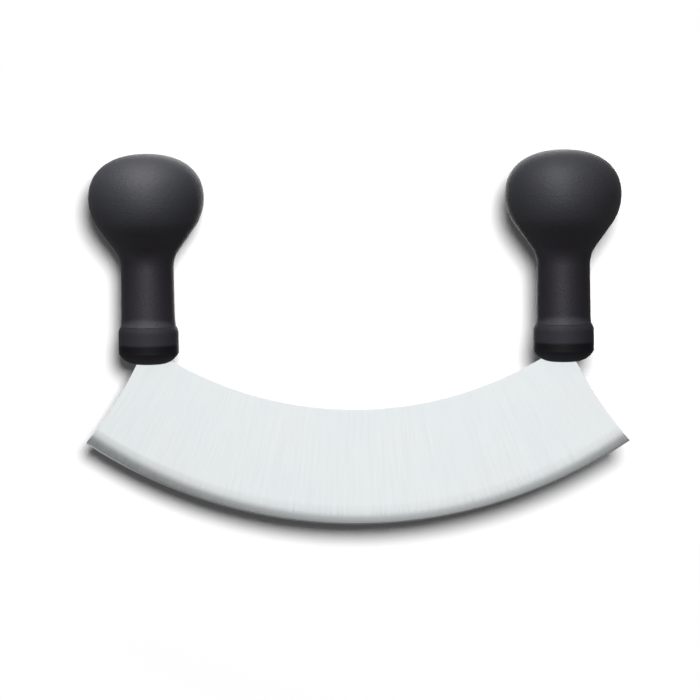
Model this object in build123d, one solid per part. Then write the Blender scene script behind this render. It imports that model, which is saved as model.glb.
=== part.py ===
from build123d import *
from math import cos, hypot, radians, sin, tan
import os

# Mezzaluna: a crescent chopping blade between two upright knob handles.
# Lengths are in millimetres. X runs along the blade, Y through its thickness and Z up.
# The origin is the lowest point of the cutting edge, midway between the handles.

# Whole tool
overall_height = 157.5        # cutting edge to the top of the knobs
handle_inset = 27.6           # along X, from each tip in to the handle's centre line
seat_height = 68.9            # underside of the collars above the cutting edge

# Blade outline
blade_length = 230.0          # tip to tip
tip_height = 35.25            # tips above the lowest point of the cutting edge
blade_depth = 48.8            # cutting edge to inner edge, at the middle
end_edge_hollow = 1.2         # how far each end edge curves in from a straight line

# Blade section
blade_thickness = 2.2         # between the two ground faces
grind_width = 8.0             # cutting edge to the start of the rounded grind
edge_bevel_width = 0.6        # the fine bevel at the cutting edge
edge_bevel_thickness = 0.6    # where the fine bevel starts
edge_land = 0.12              # the cutting edge itself
grind_stop_gap = 0.3          # the ground faces end this far below the collars

# Neck and tang, one of each under either handle
neck_outer = 5.1              # handle centre line to the neck's side nearer the tip
neck_inner = 8.6              # handle centre line to the neck's side nearer the middle
neck_back_rise = 1.5          # inner edge meets the neck this far above the collar's underside
tang_thickness = 2.3          # unground stock
tang_width = 9.0
tang_length = 38.0            # above the neck's shoulder
tang_corner_radius = 2.0

# Collar
collar_height = 15.8
collar_step = 1.35            # how far the collar stands out from the stem above its flare
collar_floor = 5.5            # thickness of the end that the neck passes through
collar_flat_radius = 5.0      # the flat in the middle of the underside
collar_underside_rise = 4.7   # height of the rounded underside
collar_corner_radius = 1.0    # between the rounded underside and the wall
collar_top_round = 2.8        # height of the rounding at the top
collar_ledge = 0.1            # flat rim that shows round the foot of the stem

# Stem and spigot of the handle
stem_foot_radius = 11.3       # just above the flare
stem_neck_radius = 11.1       # where the stem runs into the knob
stem_flare = 0.35             # hollow widening at the very foot of the stem
stem_flare_height = 3.4
stem_edge_radius = 0.2        # softened lower edge of the stem
spigot_radius = 8.4           # the part of the handle that fits inside the collar

# Knob
knob_radius = 24.25
knob_widest_share = 0.2555    # of the handle's length above its collar, top down to the widest place
knob_crown_share = 0.675      # of the knob's radius: how long the crown's curve holds level
knob_shoulder_share = 0.575   # of the drop to the widest place: how long it holds upright there
knob_underside_radius = 21.5  # curve just below the widest place
knob_cone_angle = 36.0        # degrees from vertical, where the knob tapers to the stem
knob_neck_fillet = 13.0       # hollow curve between the taper and the stem

# Sleeve round the tang, and the pin across it
sleeve_radius = 6.5
sleeve_cover = 2.0            # how far the sleeve reaches past the tang
pin_radius = 1.5
pin_height = 23.0             # above the neck's shoulder
pin_recess = 0.2              # each end of the pin lies this far inside the sleeve
pin_chamfer = 0.3

# Fits
slot_clearance = 0.1          # all round the neck in the collar, and the tang in the sleeve
bore_clearance = 0.1          # radial, sleeve in handle and spigot in collar
end_clearance = 0.3           # at the ends of the spigot and of the blind bore
pin_clearance = 0.05          # radial
cut_overrun = 2.0             # cutting shapes run past the solid by this much

# Levels and centres that follow from the sizes above
handle_spacing = blade_length - 2 * handle_inset
axis_x = handle_spacing / 2
joint_height = seat_height + collar_height
knob_widest_drop = knob_widest_share * (overall_height - joint_height)
shoulder_height = seat_height + collar_floor
tang_top = shoulder_height + tang_length
sleeve_top = tang_top + sleeve_cover
grind_stop = seat_height - grind_stop_gap
foot_radius = stem_foot_radius + stem_flare
collar_radius = stem_foot_radius + collar_step
socket_radius = spigot_radius + bore_clearance
sleeve_bore_radius = sleeve_radius + bore_clearance


def arc_radius(half_chord, rise):
    """Radius of the arc that rises this far over this half chord."""
    return (half_chord ** 2 + rise ** 2) / (2 * rise)


edge_radius = arc_radius(blade_length / 2, tip_height)
back_rise = seat_height + neck_back_rise - blade_depth
back_radius = arc_radius(axis_x - neck_inner, back_rise)


def end_circle():
    """Centre and radius of the circle that hollows the right end edge."""
    tip = (blade_length / 2, tip_height)
    corner = (axis_x + neck_outer, seat_height)
    run = tip[0] - corner[0]
    fall = corner[1] - tip[1]
    chord = hypot(run, fall)
    radius = arc_radius(chord / 2, end_edge_hollow)
    reach = radius - end_edge_hollow
    centre_x = (tip[0] + corner[0]) / 2 + reach * fall / chord
    centre_z = (tip[1] + corner[1]) / 2 + reach * run / chord
    return centre_x, centre_z, radius


def crescent_outline():
    """The blade seen from the front, up to the shoulder of the necks."""
    centre_x, centre_z, radius = end_circle()
    outline = Pos(0, edge_radius) * Circle(edge_radius + cut_overrun)
    outline -= Pos(0, blade_depth + back_radius) * Circle(back_radius)
    for side in (-1, 1):
        outline -= Pos(side * centre_x, centre_z) * Circle(radius)
    below = Pos(0, shoulder_height) * Rectangle(
        blade_length, shoulder_height + cut_overrun, align=(Align.CENTER, Align.MAX)
    )
    outline &= below
    neck_width = neck_outer + neck_inner
    neck_height = shoulder_height - tip_height
    for side in (-1, 1):
        neck_x = side * (axis_x + (neck_outer - neck_inner) / 2)
        neck = Pos(neck_x, shoulder_height) * Rectangle(
            neck_width, neck_height, align=(Align.CENTER, Align.MAX)
        )
        outline += neck & (Pos(0, edge_radius) * Circle(edge_radius))
    return outline


def tang_outline(side):
    """One tang seen from the front, with its upper corners rounded."""
    tang = Pos(side * axis_x, shoulder_height) * Rectangle(
        tang_width, tang_length, align=(Align.CENTER, Align.MIN)
    )
    return fillet(tang.vertices().group_by(Axis.Y)[-1], tang_corner_radius)


def band(low, high):
    """A wide strip between two heights, seen from the front."""
    return Pos(0, low) * Rectangle(
        blade_length + 2 * cut_overrun, high - low, align=(Align.CENTER, Align.MIN)
    )


def upright(outline, thickness):
    """A front outline made solid, half of its thickness each side of the middle plane."""
    return extrude(Plane.XZ * outline, thickness / 2, both=True)


def ground_ring():
    """The blade's section swept round the centre of its cutting edge."""
    half = blade_thickness / 2
    bevel_half = edge_bevel_thickness / 2
    land_half = edge_land / 2
    sides = []
    for side in (-1, 1):
        sides.append(Line((side * land_half, 0), (side * bevel_half, edge_bevel_width)))
        sides.append(
            TangentArc((side * half, grind_width), (side * bevel_half, edge_bevel_width), tangent=(0, -1))
        )
        sides.append(Line((side * half, grind_width), (side * half, seat_height)))
    sides.append(Line((-land_half, 0), (land_half, 0)))
    sides.append(Line((-half, seat_height), (half, seat_height)))
    section = Plane.YZ * make_face(sides)
    return revolve(section, Axis((0, 0, edge_radius), (0, 1, 0)))


def cross_bar(radius, length):
    """A round bar across the blade's thickness, centred on the origin."""
    return Rot(90, 0, 0) * Cylinder(radius, length)


def blade():
    """Ground crescent with two unground necks and tangs, all one piece of steel."""
    outline = crescent_outline()
    ground = outline & band(-cut_overrun, grind_stop)
    stock = outline & band(grind_stop, shoulder_height)
    solid = upright(ground, blade_thickness + cut_overrun) & ground_ring()
    solid += upright(stock, tang_thickness)
    for side in (-1, 1):
        solid += upright(tang_outline(side), tang_thickness)
        solid -= Pos(side * axis_x, 0, shoulder_height + pin_height) * cross_bar(
            pin_radius + pin_clearance, tang_thickness + cut_overrun
        )
    return solid


def collar():
    """Right collar: a thick cup with a rounded underside and a slot for the neck."""
    rim_radius = foot_radius + collar_ledge
    underside_edge = (collar_radius, seat_height + collar_underside_rise)
    wall_top = (collar_radius, joint_height - collar_top_round)
    outline = [
        Line((0, seat_height), (collar_flat_radius, seat_height)),
        TangentArc((collar_flat_radius, seat_height), underside_edge, tangent=(1, 0)),
        Line(underside_edge, wall_top),
        TangentArc(wall_top, (rim_radius, joint_height), tangent=(0, 1)),
        Line((rim_radius, joint_height), (socket_radius, joint_height)),
        Line((socket_radius, joint_height), (socket_radius, shoulder_height)),
        Line((socket_radius, shoulder_height), (0, shoulder_height)),
        Line((0, shoulder_height), (0, seat_height)),
    ]
    section = make_face(outline)
    corner = section.vertices().sort_by_distance((*underside_edge, 0))[0]
    section = fillet(corner, collar_corner_radius)
    solid = Pos(axis_x, 0, 0) * revolve(Plane.XZ * section, Axis.Z)
    slot = offset(crescent_outline(), slot_clearance)
    return solid - upright(slot, tang_thickness + 2 * slot_clearance)


def handle():
    """Right handle: knob, stem and spigot in one moulding, with a blind bore."""
    top = overall_height
    widest = top - knob_widest_drop
    cone = radians(knob_cone_angle)
    cone_start = (
        knob_radius - knob_underside_radius * (1 - cos(cone)),
        widest - knob_underside_radius * sin(cone),
    )
    cone_end_radius = stem_neck_radius + knob_neck_fillet * (1 - cos(cone))
    cone_end = (
        cone_end_radius,
        cone_start[1] - (cone_start[0] - cone_end_radius) / tan(cone),
    )
    neck = (stem_neck_radius, cone_end[1] - knob_neck_fillet * sin(cone))
    flare_start = (stem_foot_radius, joint_height + stem_flare_height)
    foot = (foot_radius, joint_height)

    spigot_end = shoulder_height + end_clearance
    bore_end = sleeve_top + end_clearance
    crown = Bezier(
        (0, top),
        (knob_crown_share * knob_radius, top),
        (knob_radius, widest + knob_shoulder_share * knob_widest_drop),
        (knob_radius, widest),
    )
    underside = TangentArc((knob_radius, widest), cone_start, tangent=(0, -1))
    taper = Line(cone_start, cone_end)
    hollow = TangentArc(cone_end, neck, tangent=taper % 1)
    stem = TangentArc(neck, flare_start, tangent=(0, -1))
    flare = TangentArc(flare_start, foot, tangent=stem % 1)
    section = make_face(
        [
            crown,
            underside,
            taper,
            hollow,
            stem,
            flare,
            Line(foot, (spigot_radius, joint_height)),
            Line((spigot_radius, joint_height), (spigot_radius, spigot_end)),
            Line((spigot_radius, spigot_end), (sleeve_bore_radius, spigot_end)),
            Line((sleeve_bore_radius, spigot_end), (sleeve_bore_radius, bore_end)),
            Line((sleeve_bore_radius, bore_end), (0, bore_end)),
            Line((0, bore_end), (0, top)),
        ]
    )
    lower_edge = section.vertices().sort_by_distance((*foot, 0))[0]
    section = fillet(lower_edge, stem_edge_radius)
    return Pos(axis_x, 0, 0) * revolve(Plane.XZ * section, Axis.Z)


def tang_sleeve():
    """Right sleeve: a round moulded core with a slot that the flat tang fills."""
    length = sleeve_top - shoulder_height
    solid = Pos(0, 0, shoulder_height) * Cylinder(
        sleeve_radius, length, align=(Align.CENTER, Align.CENTER, Align.MIN)
    )
    solid -= Pos(0, 0, shoulder_height - cut_overrun) * Box(
        tang_width + 2 * slot_clearance,
        tang_thickness + 2 * slot_clearance,
        length + 2 * cut_overrun,
        align=(Align.CENTER, Align.CENTER, Align.MIN),
    )
    solid -= Pos(0, 0, shoulder_height + pin_height) * cross_bar(
        pin_radius + pin_clearance, 2 * (sleeve_radius + cut_overrun)
    )
    return Pos(axis_x, 0, 0) * solid


def tang_pin():
    """Right pin: holds the sleeve to the tang, with both ends chamfered."""
    pin = cross_bar(pin_radius, 2 * (sleeve_radius - pin_recess))
    pin = chamfer(pin.edges().filter_by(GeomType.CIRCLE), pin_chamfer)
    return Pos(axis_x, 0, shoulder_height + pin_height) * pin


os.makedirs("parts", exist_ok=True)
export_step(blade(), "parts/blade.step")
right_pieces = {
    "handle": handle(),
    "collar": collar(),
    "tang_sleeve": tang_sleeve(),
    "tang_pin": tang_pin(),
}
for name, piece in right_pieces.items():
    export_step(piece, f"parts/{name}_right.step")
    export_step(mirror(piece, about=Plane.YZ), f"parts/{name}_left.step")
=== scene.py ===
import math

import bpy
from mathutils import Matrix, Vector


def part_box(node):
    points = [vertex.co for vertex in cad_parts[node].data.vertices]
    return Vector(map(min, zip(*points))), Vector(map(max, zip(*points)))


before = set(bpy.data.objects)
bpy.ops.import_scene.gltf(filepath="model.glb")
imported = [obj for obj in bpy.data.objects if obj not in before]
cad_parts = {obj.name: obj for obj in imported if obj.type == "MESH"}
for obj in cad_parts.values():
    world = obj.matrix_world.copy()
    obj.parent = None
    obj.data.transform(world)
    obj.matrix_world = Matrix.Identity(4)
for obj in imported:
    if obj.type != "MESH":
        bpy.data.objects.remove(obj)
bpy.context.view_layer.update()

# Blade: one piece of stainless steel, stamped with both tangs. Its two faces are ground to a
# fine satin, with marks that run from the inner edge down to the cutting edge. The last 8 mm
# is ground round to a thin edge, which a stone then finishes with a bevel under 1 mm wide.
half_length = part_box("blade")[1].x
tip_height = 0.03525
edge_radius = (half_length ** 2 + tip_height ** 2) / (2 * tip_height)
bevel_width = 0.0006


def linear(hex_colour):
    """A colour written as sRGB hex, as the linear values that a shader takes."""
    shares = [int(hex_colour[i:i + 2], 16) / 255 for i in (1, 3, 5)]
    lit = [s / 12.92 if s <= 0.04045 else ((s + 0.055) / 1.055) ** 2.4 for s in shares]
    return (*lit, 1.0)


def add_node(tree, kind, settings, inputs):
    """Adds a node. An input given as another node's output is linked, and any other is set."""
    node = tree.nodes.new(kind)
    for name, value in settings.items():
        setattr(node, name, value)
    for socket, value in inputs.items():
        if isinstance(value, bpy.types.NodeSocket):
            tree.links.new(value, node.inputs[socket])
        else:
            node.inputs[socket].default_value = value
    return node


def new_material(name):
    """An empty procedural material: its node tree, and the shader that everything feeds."""
    material = bpy.data.materials.new(name)
    material.use_nodes = True
    return material, material.node_tree, material.node_tree.nodes["Principled BSDF"]


def dress(material, *names):
    """Gives the CAD pieces of these names this finish."""
    for name in names:
        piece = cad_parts[name]
        piece.data.materials.clear()
        piece.data.materials.append(material)


# Satin-ground stainless steel. The eye sees an almost even pale grey with a faint cool and warm
# drift, and no single mark. Real marks lie about 0.1 mm apart, so these are drawn coarser to show.
steel, tree, shader = new_material("satin_ground_stainless_steel")
mark_spacing = 0.0007
mark_length = 0.018
mark_depth = 0.0000012
drift_size = 0.03
cool_steel = linear("#ECF4F6")
warm_steel = linear("#F1F3F3")
smooth_steel = 0.21
rough_steel = 0.27
honed_steel = 0.2
# Blender's noise seldom leaves this range.
noise_low = 0.3
noise_high = 0.7

place = add_node(tree, "ShaderNodeTexCoord", {}, {}).outputs["Object"]
from_centre = add_node(
    tree, "ShaderNodeVectorMath", {"operation": "SUBTRACT"}, {0: place, 1: (0, 0, edge_radius)}
).outputs[0]
in_face = add_node(
    tree, "ShaderNodeVectorMath", {"operation": "MULTIPLY"}, {0: from_centre, 1: (1, 0, 1)}
).outputs[0]
reach = add_node(tree, "ShaderNodeVectorMath", {"operation": "LENGTH"}, {0: in_face}).outputs["Value"]
side = add_node(tree, "ShaderNodeSeparateXYZ", {}, {0: in_face})
drop = add_node(
    tree, "ShaderNodeMath", {"operation": "MULTIPLY"}, {0: side.outputs["Z"], 1: -1.0}
).outputs[0]
turn = add_node(
    tree, "ShaderNodeMath", {"operation": "ARCTAN2"}, {0: side.outputs["X"], 1: drop}
).outputs[0]
across_marks = add_node(
    tree, "ShaderNodeMath", {"operation": "MULTIPLY"}, {0: turn, 1: edge_radius / mark_spacing}
).outputs[0]
along_marks = add_node(
    tree, "ShaderNodeMath", {"operation": "DIVIDE"}, {0: reach, 1: mark_length}
).outputs[0]
depth = add_node(tree, "ShaderNodeSeparateXYZ", {}, {0: place}).outputs["Y"]
which_face = add_node(
    tree, "ShaderNodeMath", {"operation": "DIVIDE"}, {0: depth, 1: mark_spacing}
).outputs[0]
mark_place = add_node(
    tree, "ShaderNodeCombineXYZ", {}, {0: across_marks, 1: along_marks, 2: which_face}
).outputs[0]
marks = add_node(
    tree, "ShaderNodeTexNoise", {}, {"Vector": mark_place, "Scale": 1.0, "Detail": 3.0, "Roughness": 0.6}
).outputs["Fac"]
drift = add_node(
    tree, "ShaderNodeTexNoise", {}, {"Vector": place, "Scale": 1 / drift_size, "Detail": 2.0}
).outputs["Fac"]
colour = add_node(
    tree, "ShaderNodeMix", {"data_type": "RGBA"}, {"Factor": drift, "A": cool_steel, "B": warm_steel}
)
inset = add_node(
    tree, "ShaderNodeMath", {"operation": "SUBTRACT"}, {0: edge_radius, 1: reach}
).outputs[0]
face_roughness = add_node(
    tree, "ShaderNodeMapRange", {},
    {
        "Value": marks, "From Min": noise_low, "From Max": noise_high,
        "To Min": smooth_steel, "To Max": rough_steel,
    },
).outputs[0]
roughness = add_node(
    tree, "ShaderNodeMapRange", {},
    {
        "Value": inset, "From Min": bevel_width, "From Max": 2 * bevel_width,
        "To Min": honed_steel, "To Max": face_roughness,
    },
).outputs[0]
mark_bump = add_node(
    tree, "ShaderNodeBump", {}, {"Strength": 1.0, "Distance": mark_depth, "Height": marks}
).outputs[0]
shader.inputs["Metallic"].default_value = 1.0
tree.links.new(colour.outputs["Result"], shader.inputs["Base Color"])
tree.links.new(roughness, shader.inputs["Roughness"])
tree.links.new(mark_bump, shader.inputs["Normal"])
dress(steel, "blade")

# Handles: knob and stem are one black polypropylene moulding, pressed over the tang's sleeve.
# The mould was spark-eroded, so the whole outside has a fine even grain.
grain_size = 0.0009
grain_depth = 0.00015
wear_size = 0.02
lit_knob_low = 0.1235
lit_knob_high = 0.1305
joint_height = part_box("collar_left")[1].z
stem_radius = 0.0113
highlight_height = 0.0048
highlight_side_height = 0.0012
highlight_fade = 0.003
# Painted light and shade: the stem's darker colours and the knob's paler ones are shaded and lit copies of
# one plastic.
shaded_stem_dark = linear("#19171C")
shaded_stem_pale = linear("#1D1A20")
lit_knob_dark = linear("#27282C")
lit_knob_pale = linear("#2B2B30")
# Painted highlight: the paler grey of the band round the stem's foot.
painted_highlight_grey = linear("#37363B")
smooth_plastic = 0.55
rough_plastic = 0.61
plastic_gloss = 0.3

# Grained black polypropylene: a soft grey sheen where it faces the light, and no sharp gloss. The
# knob is painted a little greyer than the stem: painted light for the top light that the knob
# catches and its overhang keeps off the stem. A paler band round the stem's foot is a painted
# highlight. Real grain is about 0.15 mm wide, too fine for the picture, so it is drawn six
# times coarser.
grained_black, tree, shader = new_material("grained_black_polypropylene")
place = add_node(tree, "ShaderNodeTexCoord", {}, {}).outputs["Object"]
parts = add_node(tree, "ShaderNodeSeparateXYZ", {}, {0: place})
grain = add_node(
    tree, "ShaderNodeTexNoise", {},
    {"Vector": place, "Scale": 1 / grain_size, "Detail": 2.0, "Roughness": 0.5},
).outputs["Fac"]
wear = add_node(
    tree, "ShaderNodeTexNoise", {}, {"Vector": place, "Scale": 1 / wear_size, "Detail": 3.0}
).outputs["Fac"]
# Painted light: above the neck the knob takes the paler, lit colours, and below it the stem keeps the
# darker, shaded ones.
is_lit_knob = add_node(
    tree, "ShaderNodeMapRange", {"interpolation_type": "SMOOTHSTEP"},
    {"Value": parts.outputs["Z"], "From Min": lit_knob_low, "From Max": lit_knob_high},
).outputs[0]
off_middle = add_node(
    tree, "ShaderNodeMath", {"operation": "ABSOLUTE"}, {0: parts.outputs["Y"]}
).outputs[0]
# Painted highlight: a paler band round the stem's foot, taller in front and behind than at the sides.
highlight_top = add_node(
    tree, "ShaderNodeMapRange", {},
    {
        "Value": off_middle, "From Max": stem_radius,
        "To Min": joint_height + highlight_side_height, "To Max": joint_height + highlight_height,
    },
).outputs[0]
under_top = add_node(
    tree, "ShaderNodeMath", {"operation": "SUBTRACT"}, {0: highlight_top, 1: parts.outputs["Z"]}
).outputs[0]
is_painted_highlight = add_node(
    tree, "ShaderNodeMapRange", {"interpolation_type": "SMOOTHSTEP"},
    {"Value": under_top, "From Max": highlight_fade},
).outputs[0]
shaded_stem_colour = add_node(
    tree, "ShaderNodeMix", {"data_type": "RGBA"},
    {"Factor": wear, "A": shaded_stem_dark, "B": shaded_stem_pale},
).outputs["Result"]
lit_knob_colour = add_node(
    tree, "ShaderNodeMix", {"data_type": "RGBA"},
    {"Factor": wear, "A": lit_knob_dark, "B": lit_knob_pale},
).outputs["Result"]
lit_and_shaded_colour = add_node(
    tree, "ShaderNodeMix", {"data_type": "RGBA"},
    {"Factor": is_lit_knob, "A": shaded_stem_colour, "B": lit_knob_colour},
).outputs["Result"]
colour = add_node(
    tree, "ShaderNodeMix", {"data_type": "RGBA"},
    {"Factor": is_painted_highlight, "A": lit_and_shaded_colour, "B": painted_highlight_grey},
)
roughness = add_node(
    tree, "ShaderNodeMapRange", {},
    {
        "Value": wear, "From Min": noise_low, "From Max": noise_high,
        "To Min": smooth_plastic, "To Max": rough_plastic,
    },
).outputs[0]
grain_bump = add_node(
    tree, "ShaderNodeBump", {}, {"Strength": 1.0, "Distance": grain_depth, "Height": grain}
).outputs[0]
shader.inputs["Specular IOR Level"].default_value = plastic_gloss
tree.links.new(colour.outputs["Result"], shader.inputs["Base Color"])
tree.links.new(roughness, shader.inputs["Roughness"])
tree.links.new(grain_bump, shader.inputs["Normal"])
dress(grained_black, "handle_left", "handle_right")

# Collars: black polypropylene cups that close the foot of each stem round the neck of the blade.
# Their mould was eroded like the handle's, but for the lower 8 mm, which was blasted instead.
grain_stop = 0.0772
grain_fade = 0.0007
collar_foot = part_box("collar_left")[0].z
underside_light_height = 0.006
grained_dark = linear("#29282D")
grained_pale = linear("#2D2B31")
grained_roughness = 0.62
grained_gloss = 0.15
matt_black = linear("#101013")
# Painted light: the paler black at the collar's foot, over its lowest 6 mm.
painted_underside_light = linear("#38373B")
blasted_roughness = 0.6
blasted_gloss = 0.1

# Half-blasted black polypropylene: above, the same soft grey sheen as on the handle. Below, the
# blasting left a dead matt that gives back hardly any light, so that part looks much blacker.
# Towards its foot, where the surface turns down away from the lamps, it is painted a little paler: painted
# light that lifts the shade there.
half_blasted_black, tree, shader = new_material("half_blasted_black_polypropylene")
place = add_node(tree, "ShaderNodeTexCoord", {}, {}).outputs["Object"]
height = add_node(tree, "ShaderNodeSeparateXYZ", {}, {0: place}).outputs["Z"]
is_grained = add_node(
    tree, "ShaderNodeMapRange", {"interpolation_type": "SMOOTHSTEP"},
    {"Value": height, "From Min": grain_stop - grain_fade, "From Max": grain_stop + grain_fade},
).outputs[0]
grain = add_node(
    tree, "ShaderNodeTexNoise", {},
    {"Vector": place, "Scale": 1 / grain_size, "Detail": 2.0, "Roughness": 0.5},
).outputs["Fac"]
grain_bump = add_node(
    tree, "ShaderNodeBump", {}, {"Strength": 1.0, "Distance": grain_depth, "Height": grain}
).outputs[0]
wear = add_node(
    tree, "ShaderNodeTexNoise", {}, {"Vector": place, "Scale": 1 / wear_size, "Detail": 3.0}
).outputs["Fac"]
grained_colour = add_node(
    tree, "ShaderNodeMix", {"data_type": "RGBA"},
    {"Factor": wear, "A": grained_dark, "B": grained_pale},
)
# Painted light: paler towards the foot, to lift the shade on the downward-facing underside.
is_painted_underside_light = add_node(
    tree, "ShaderNodeMapRange", {"interpolation_type": "SMOOTHSTEP"},
    {"Value": height, "From Min": collar_foot + underside_light_height, "From Max": collar_foot},
).outputs[0]
blasted_colour = add_node(
    tree, "ShaderNodeMix", {"data_type": "RGBA"},
    {"Factor": is_painted_underside_light, "A": matt_black, "B": painted_underside_light},
)
shader.inputs["Roughness"].default_value = grained_roughness
shader.inputs["Specular IOR Level"].default_value = grained_gloss
tree.links.new(grained_colour.outputs["Result"], shader.inputs["Base Color"])
tree.links.new(grain_bump, shader.inputs["Normal"])
blasted = add_node(
    tree, "ShaderNodeBsdfPrincipled", {},
    {
        "Base Color": blasted_colour.outputs["Result"],
        "Roughness": blasted_roughness,
        "Specular IOR Level": blasted_gloss,
        "Normal": grain_bump,
    },
).outputs[0]
finish = add_node(
    tree, "ShaderNodeMixShader", {}, {0: is_grained, 1: blasted, 2: shader.outputs[0]}
).outputs[0]
tree.links.new(finish, tree.nodes["Material Output"].inputs["Surface"])
dress(half_blasted_black, "collar_left", "collar_right")

# Tang sleeves: plain nylon cores inside the handles, each slotted for its flat tang.
# Nobody sees them once the handles are on, so their mould was only milled.
mill_mark = 0.0008
mill_depth = 0.000004
dark_nylon = linear("#2B2A29")
pale_nylon = linear("#302F2D")
nylon_roughness = 0.5
# At a scale of 1, Blender's wave repeats at this length.
wave_length = math.pi / 10

# Natural dark nylon with the mould's milling rings round it, each about 0.8 mm high.
milled_nylon, tree, shader = new_material("dark_nylon_from_milled_mould")
place = add_node(tree, "ShaderNodeTexCoord", {}, {}).outputs["Object"]
rings = add_node(
    tree, "ShaderNodeTexWave", {"bands_direction": "Z"},
    {"Vector": place, "Scale": wave_length / mill_mark, "Distortion": 0.4, "Detail": 1.0},
).outputs["Fac"]
colour = add_node(
    tree, "ShaderNodeMix", {"data_type": "RGBA"},
    {"Factor": rings, "A": dark_nylon, "B": pale_nylon},
)
ring_bump = add_node(
    tree, "ShaderNodeBump", {}, {"Strength": 1.0, "Distance": mill_depth, "Height": rings}
).outputs[0]
shader.inputs["Roughness"].default_value = nylon_roughness
tree.links.new(colour.outputs["Result"], shader.inputs["Base Color"])
tree.links.new(ring_bump, shader.inputs["Normal"])
dress(milled_nylon, "tang_sleeve_left", "tang_sleeve_right")

# Tang pins: short turned steel pins pushed through sleeve and tang, hidden inside the handles.
turning_mark = 0.0004
turning_depth = 0.000003
groove_steel = linear("#C2C3C4")
ridge_steel = linear("#D0D0CF")
turned_roughness = 0.3

# Turned steel: bright, with fine rings from the lathe tool round the pin's length.
turned_steel, tree, shader = new_material("turned_steel")
place = add_node(tree, "ShaderNodeTexCoord", {}, {}).outputs["Object"]
rings = add_node(
    tree, "ShaderNodeTexWave", {"bands_direction": "Y"},
    {"Vector": place, "Scale": wave_length / turning_mark, "Distortion": 0.2, "Detail": 1.0},
).outputs["Fac"]
colour = add_node(
    tree, "ShaderNodeMix", {"data_type": "RGBA"},
    {"Factor": rings, "A": groove_steel, "B": ridge_steel},
)
ring_bump = add_node(
    tree, "ShaderNodeBump", {}, {"Strength": 1.0, "Distance": turning_depth, "Height": rings}
).outputs[0]
shader.inputs["Metallic"].default_value = 1.0
shader.inputs["Roughness"].default_value = turned_roughness
tree.links.new(colour.outputs["Result"], shader.inputs["Base Color"])
tree.links.new(ring_bump, shader.inputs["Normal"])
dress(turned_steel, "tang_pin_left", "tang_pin_right")

# Floor: a plain white board close behind the knobs, square to the camera's turn, as in the
# photograph, where the tool lies on white. Only the board's painted side can be seen.
board_gap = 0.0003
board_half_side = 4.0
board_turn = math.radians(2.58)

knob_low, knob_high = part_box("handle_left")
board_left = Vector(((knob_low.x + knob_high.x) / 2, knob_high.y + board_gap, 0))
board_across = Vector((math.cos(board_turn), math.sin(board_turn), 0))
corners = [
    board_left + board_across * across * board_half_side + Vector((0, 0, along * board_half_side))
    for across, along in ((-1, -1), (1, -1), (1, 1), (-1, 1))
]
board_mesh = bpy.data.meshes.new("board")
board_mesh.from_pydata(corners, [], [(0, 1, 2, 3)])
board = bpy.data.objects.new("board", board_mesh)
bpy.context.scene.collection.objects.link(board)
# Gloss and room light pass the board by, and meet the white room behind it instead.
board.visible_diffuse = False
board.visible_glossy = False
board.visible_transmission = False
board.visible_shadow = False

# Matt white paint with no gloss. Round the tool it keeps the shadow; further out, where none
# falls, it glows at a strength of 1, so that the ground is the same plain white everywhere.
tool_middle_height = 0.08
shadow_reach = 0.14
white_reach = 0.19
matt_white, tree, shader = new_material("matt_white_paint")
tree.nodes.remove(shader)
place = add_node(tree, "ShaderNodeTexCoord", {}, {}).outputs["Object"]
from_tool = add_node(
    tree, "ShaderNodeVectorMath", {"operation": "DISTANCE"},
    {0: place, 1: (0, board_left.y, tool_middle_height)},
).outputs["Value"]
is_far = add_node(
    tree, "ShaderNodeMapRange", {"interpolation_type": "SMOOTHSTEP"},
    {"Value": from_tool, "From Min": shadow_reach, "From Max": white_reach},
).outputs[0]
near_paint = add_node(
    tree, "ShaderNodeBsdfDiffuse", {}, {"Color": linear("#FFFFFF")}
).outputs[0]
far_white = add_node(tree, "ShaderNodeEmission", {}, {"Strength": 1.0}).outputs[0]
paint = add_node(
    tree, "ShaderNodeMixShader", {}, {0: is_far, 1: near_paint, 2: far_white}
).outputs[0]
underside = add_node(tree, "ShaderNodeNewGeometry", {}, {}).outputs["Backfacing"]
clear = add_node(tree, "ShaderNodeBsdfTransparent", {}, {}).outputs[0]
one_sided = add_node(
    tree, "ShaderNodeMixShader", {}, {0: underside, 1: paint, 2: clear}
).outputs[0]
tree.links.new(one_sided, tree.nodes["Material Output"].inputs["Surface"])
board.data.materials.append(matt_white)

# Studio: a white room, dimmer at both sides and behind, with a dark patch low in front of the tool
# where no lamp reaches: it draws the grey line along the ground edge. The camera sees plain white.
# Gloss sees that white too, with the room's dim and dark parts left in.
room_light = 0.17
# Each pair is a place, from far left at -1 to far right at 1, and how bright the room is there.
by_side = [
    (-1.0, 0.2),
    (-0.8, 0.38),
    (-0.5, 0.7),
    (-0.35, 0.9),
    (-0.045, 1.0),
    (0.3, 0.9),
    (0.5, 0.65),
    (0.8, 0.36),
    (1.0, 0.16),
]
# The places below are read from a direction of length 1: how far low, aside or behind it points.
dark_level = 0.15
oval_share = 1.5
dark_from = 0.4
dark_full = 0.5
low_from = -0.05
low_full = -0.15
middle_full = 0.4
middle_end = 0.55
back_side_level = 0.6
behind_full = 0.3
aside_from = 0.12
aside_full = 0.35

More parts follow.
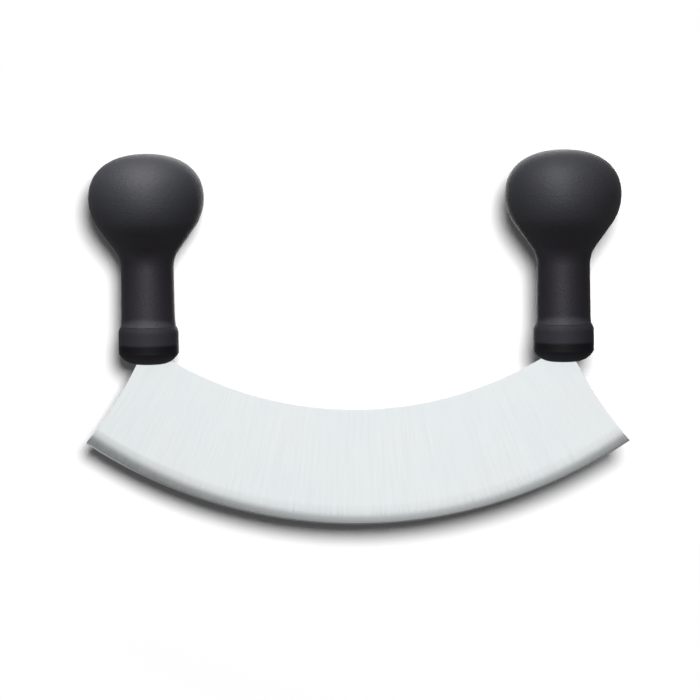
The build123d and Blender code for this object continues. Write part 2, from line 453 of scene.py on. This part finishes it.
world = bpy.data.worlds.new("white_room")
bpy.context.scene.world = world
world.use_nodes = True
tree = world.node_tree
background = tree.nodes["Background"]
direction = add_node(tree, "ShaderNodeTexCoord", {}, {}).outputs["Generated"]
parts = add_node(tree, "ShaderNodeSeparateXYZ", {}, {0: direction})
side_place = add_node(
    tree, "ShaderNodeMapRange", {}, {"Value": parts.outputs["X"], "From Min": -1.0, "From Max": 1.0}
).outputs[0]
side_ramp = add_node(tree, "ShaderNodeValToRGB", {}, {"Fac": side_place})
points = side_ramp.color_ramp.elements
while len(points) < len(by_side):
    points.new(0.5)
for point, (where, level) in zip(points, by_side):
    point.position = (where + 1) / 2
    point.color = (level, level, level, 1.0)
oval = add_node(
    tree, "ShaderNodeVectorMath", {"operation": "MULTIPLY"}, {0: direction, 1: (oval_share, 0, 1)}
).outputs[0]
off_axis = add_node(
    tree, "ShaderNodeVectorMath", {"operation": "LENGTH"}, {0: oval}
).outputs["Value"]
is_outside = add_node(
    tree, "ShaderNodeMapRange", {}, {"Value": off_axis, "From Min": dark_from, "From Max": dark_full}
).outputs[0]
is_low = add_node(
    tree, "ShaderNodeMapRange", {},
    {"Value": parts.outputs["Z"], "From Min": low_from, "From Max": low_full},
).outputs[0]
aside = add_node(
    tree, "ShaderNodeMath", {"operation": "ABSOLUTE"}, {0: parts.outputs["X"]}
).outputs[0]
is_middle = add_node(
    tree, "ShaderNodeMapRange", {}, {"Value": aside, "From Min": middle_end, "From Max": middle_full}
).outputs[0]
low_outside = add_node(
    tree, "ShaderNodeMath", {"operation": "MULTIPLY"}, {0: is_outside, 1: is_low}
).outputs[0]
is_dark = add_node(
    tree, "ShaderNodeMath", {"operation": "MULTIPLY"}, {0: low_outside, 1: is_middle}
).outputs[0]
patch_level = add_node(
    tree, "ShaderNodeMapRange", {}, {"Value": is_dark, "To Min": 1.0, "To Max": dark_level}
).outputs[0]
is_behind = add_node(
    tree, "ShaderNodeMapRange", {}, {"Value": parts.outputs["Y"], "From Max": behind_full}
).outputs[0]
is_aside = add_node(
    tree, "ShaderNodeMapRange", {}, {"Value": aside, "From Min": aside_from, "From Max": aside_full}
).outputs[0]
is_back_side = add_node(
    tree, "ShaderNodeMath", {"operation": "MULTIPLY"}, {0: is_behind, 1: is_aside}
).outputs[0]
back_level = add_node(
    tree, "ShaderNodeMapRange", {}, {"Value": is_back_side, "To Min": 1.0, "To Max": back_side_level}
).outputs[0]
around = add_node(
    tree, "ShaderNodeMath", {"operation": "MULTIPLY"}, {0: side_ramp.outputs["Color"], 1: back_level}
).outputs[0]
room = add_node(
    tree, "ShaderNodeMath", {"operation": "MULTIPLY"}, {0: around, 1: patch_level}
).outputs[0]
path = add_node(tree, "ShaderNodeLightPath", {}, {})
# Gloss sees the room as white, but not where it only passes light on to the board.
from_board = add_node(
    tree, "ShaderNodeMath", {"operation": "MINIMUM"}, {0: path.outputs["Diffuse Depth"], 1: 1.0}
).outputs[0]
gloss_seen = add_node(
    tree, "ShaderNodeMath", {"operation": "SUBTRACT", "use_clamp": True},
    {0: path.outputs["Is Glossy Ray"], 1: from_board},
).outputs[0]
by_ray = add_node(
    tree, "ShaderNodeMapRange", {}, {"Value": gloss_seen, "To Min": room_light, "To Max": 1.0}
).outputs[0]
lit_room = add_node(
    tree, "ShaderNodeMath", {"operation": "MULTIPLY"}, {0: room, 1: by_ray}
).outputs[0]
seen = add_node(
    tree, "ShaderNodeMath", {"operation": "MAXIMUM"},
    {0: path.outputs["Is Camera Ray"], 1: path.outputs["Is Transmission Ray"]},
).outputs[0]
strength = add_node(
    tree, "ShaderNodeMath", {"operation": "MAXIMUM"}, {0: lit_room, 1: seen}
).outputs[0]
background.inputs["Color"].default_value = linear("#FFFFFF")
tree.links.new(strength, background.inputs["Strength"])

# Camera: a metre away, a little right of the middle and a little above, as in the photograph.
camera_turn = board_turn
camera_height = math.radians(4.83)
camera_roll = math.radians(-0.63)
camera_distance = 1.0
film_width = 36.0
lens_length = 122.13
aim = Vector((-0.00232, 0, 0.07421))

back = Vector((
    math.sin(camera_turn) * math.cos(camera_height),
    -math.cos(camera_turn) * math.cos(camera_height),
    math.sin(camera_height),
))
right = Vector((math.cos(camera_turn), math.sin(camera_turn), 0))
up = back.cross(right)
rolled_right = right * math.cos(camera_roll) + up * math.sin(camera_roll)
rolled_up = up * math.cos(camera_roll) - right * math.sin(camera_roll)
camera_data = bpy.data.cameras.new("camera")
camera_data.sensor_width = film_width
camera_data.lens = lens_length
camera = bpy.data.objects.new("camera", camera_data)
axes = Matrix((rolled_right, rolled_up, back)).transposed().to_4x4()
camera.matrix_world = Matrix.Translation(aim + back * camera_distance) @ axes
bpy.context.scene.collection.objects.link(camera)
bpy.context.scene.camera = camera

# Lamps: a tall soft lamp high in front gives the tool its broad grey sheen, and a smaller one above
# the left knob lights that knob a little more. A weak lamp level in front and one behind keep the
# black handles from closing up. Both leave the blade out, which would only mirror them.
sheen_height = math.radians(52)
sheen_side = math.radians(-9)
sheen_distance = 0.8
sheen_width = 0.45
sheen_tallness = 2.1
sheen_light = 4.3
left_height = math.radians(70)
left_side = math.radians(-20)
left_distance = 0.5
left_width = 0.55
left_light = 3.0
fill_height = math.radians(5)
fill_distance = 0.8
fill_width = 0.43
fill_light = 1.2
back_height = math.radians(172)
back_distance = 0.8
back_width = 0.7
back_light = 2.2
handles_height = 0.118
left_knob_height = 0.14

between_handles = Vector((0, 0, handles_height))
left_knob = Vector((board_left.x, 0, left_knob_height))
all_pieces = list(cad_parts.values())
plastic_pieces = [piece for name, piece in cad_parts.items() if name != "blade"]


def towards(height, side=0.0):
    """The direction this far up from straight ahead, behind past 90 degrees, and this far to the right."""
    return Vector((
        math.sin(side) * math.cos(height),
        -math.cos(side) * math.cos(height),
        math.sin(height),
    ))


def soft_lamp(name, place, target, width, light, receivers, tallness=1.0):
    """An oval lamp that lights only these objects, with this many W/m2 at the place it aims at."""
    away = place - target
    lamp_data = bpy.data.lights.new(name, "AREA")
    lamp_data.shape = "ELLIPSE"
    lamp_data.size = width
    lamp_data.size_y = width * tallness
    lamp_data.energy = light * math.pi * away.length_squared
    lamp = bpy.data.objects.new(name, lamp_data)
    lamp.location = place
    lamp.rotation_mode = "QUATERNION"
    lamp.rotation_quaternion = away.to_track_quat("Z", "Y")
    bpy.context.scene.collection.objects.link(lamp)
    lit = bpy.data.collections.new("lit_by_" + name)
    for receiver in receivers:
        lit.objects.link(receiver)
    lamp.light_linking.receiver_collection = lit


sheen_place = between_handles + towards(sheen_height, sheen_side) * sheen_distance
soft_lamp("sheen_lamp", sheen_place, between_handles, sheen_width, sheen_light, all_pieces, sheen_tallness)
left_place = left_knob + towards(left_height, left_side) * left_distance
soft_lamp("left_lamp", left_place, left_knob, left_width, left_light, [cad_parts["handle_left"]])
fill_place = between_handles + towards(fill_height) * fill_distance
soft_lamp("fill_lamp", fill_place, between_handles, fill_width, fill_light, plastic_pieces)
back_place = between_handles + towards(back_height) * back_distance
soft_lamp("back_lamp", back_place, between_handles, back_width, back_light, plastic_pieces)

# Board lamp: a small round lamp above the camera and to its right. It lights the board alone,
# so that the tool's shadow falls on it down and to the left, by the same amount everywhere.
board_lamp_right = 0.105
board_lamp_up = 0.21
board_lamp_width = 0.31
board_light = 3.7

board_lamp_place = (
    aim + back * camera_distance + rolled_right * board_lamp_right + rolled_up * board_lamp_up
)
soft_lamp("board_lamp", board_lamp_place, aim, board_lamp_width, board_light, [board])

bpy.context.scene.view_settings.view_transform = "Standard"
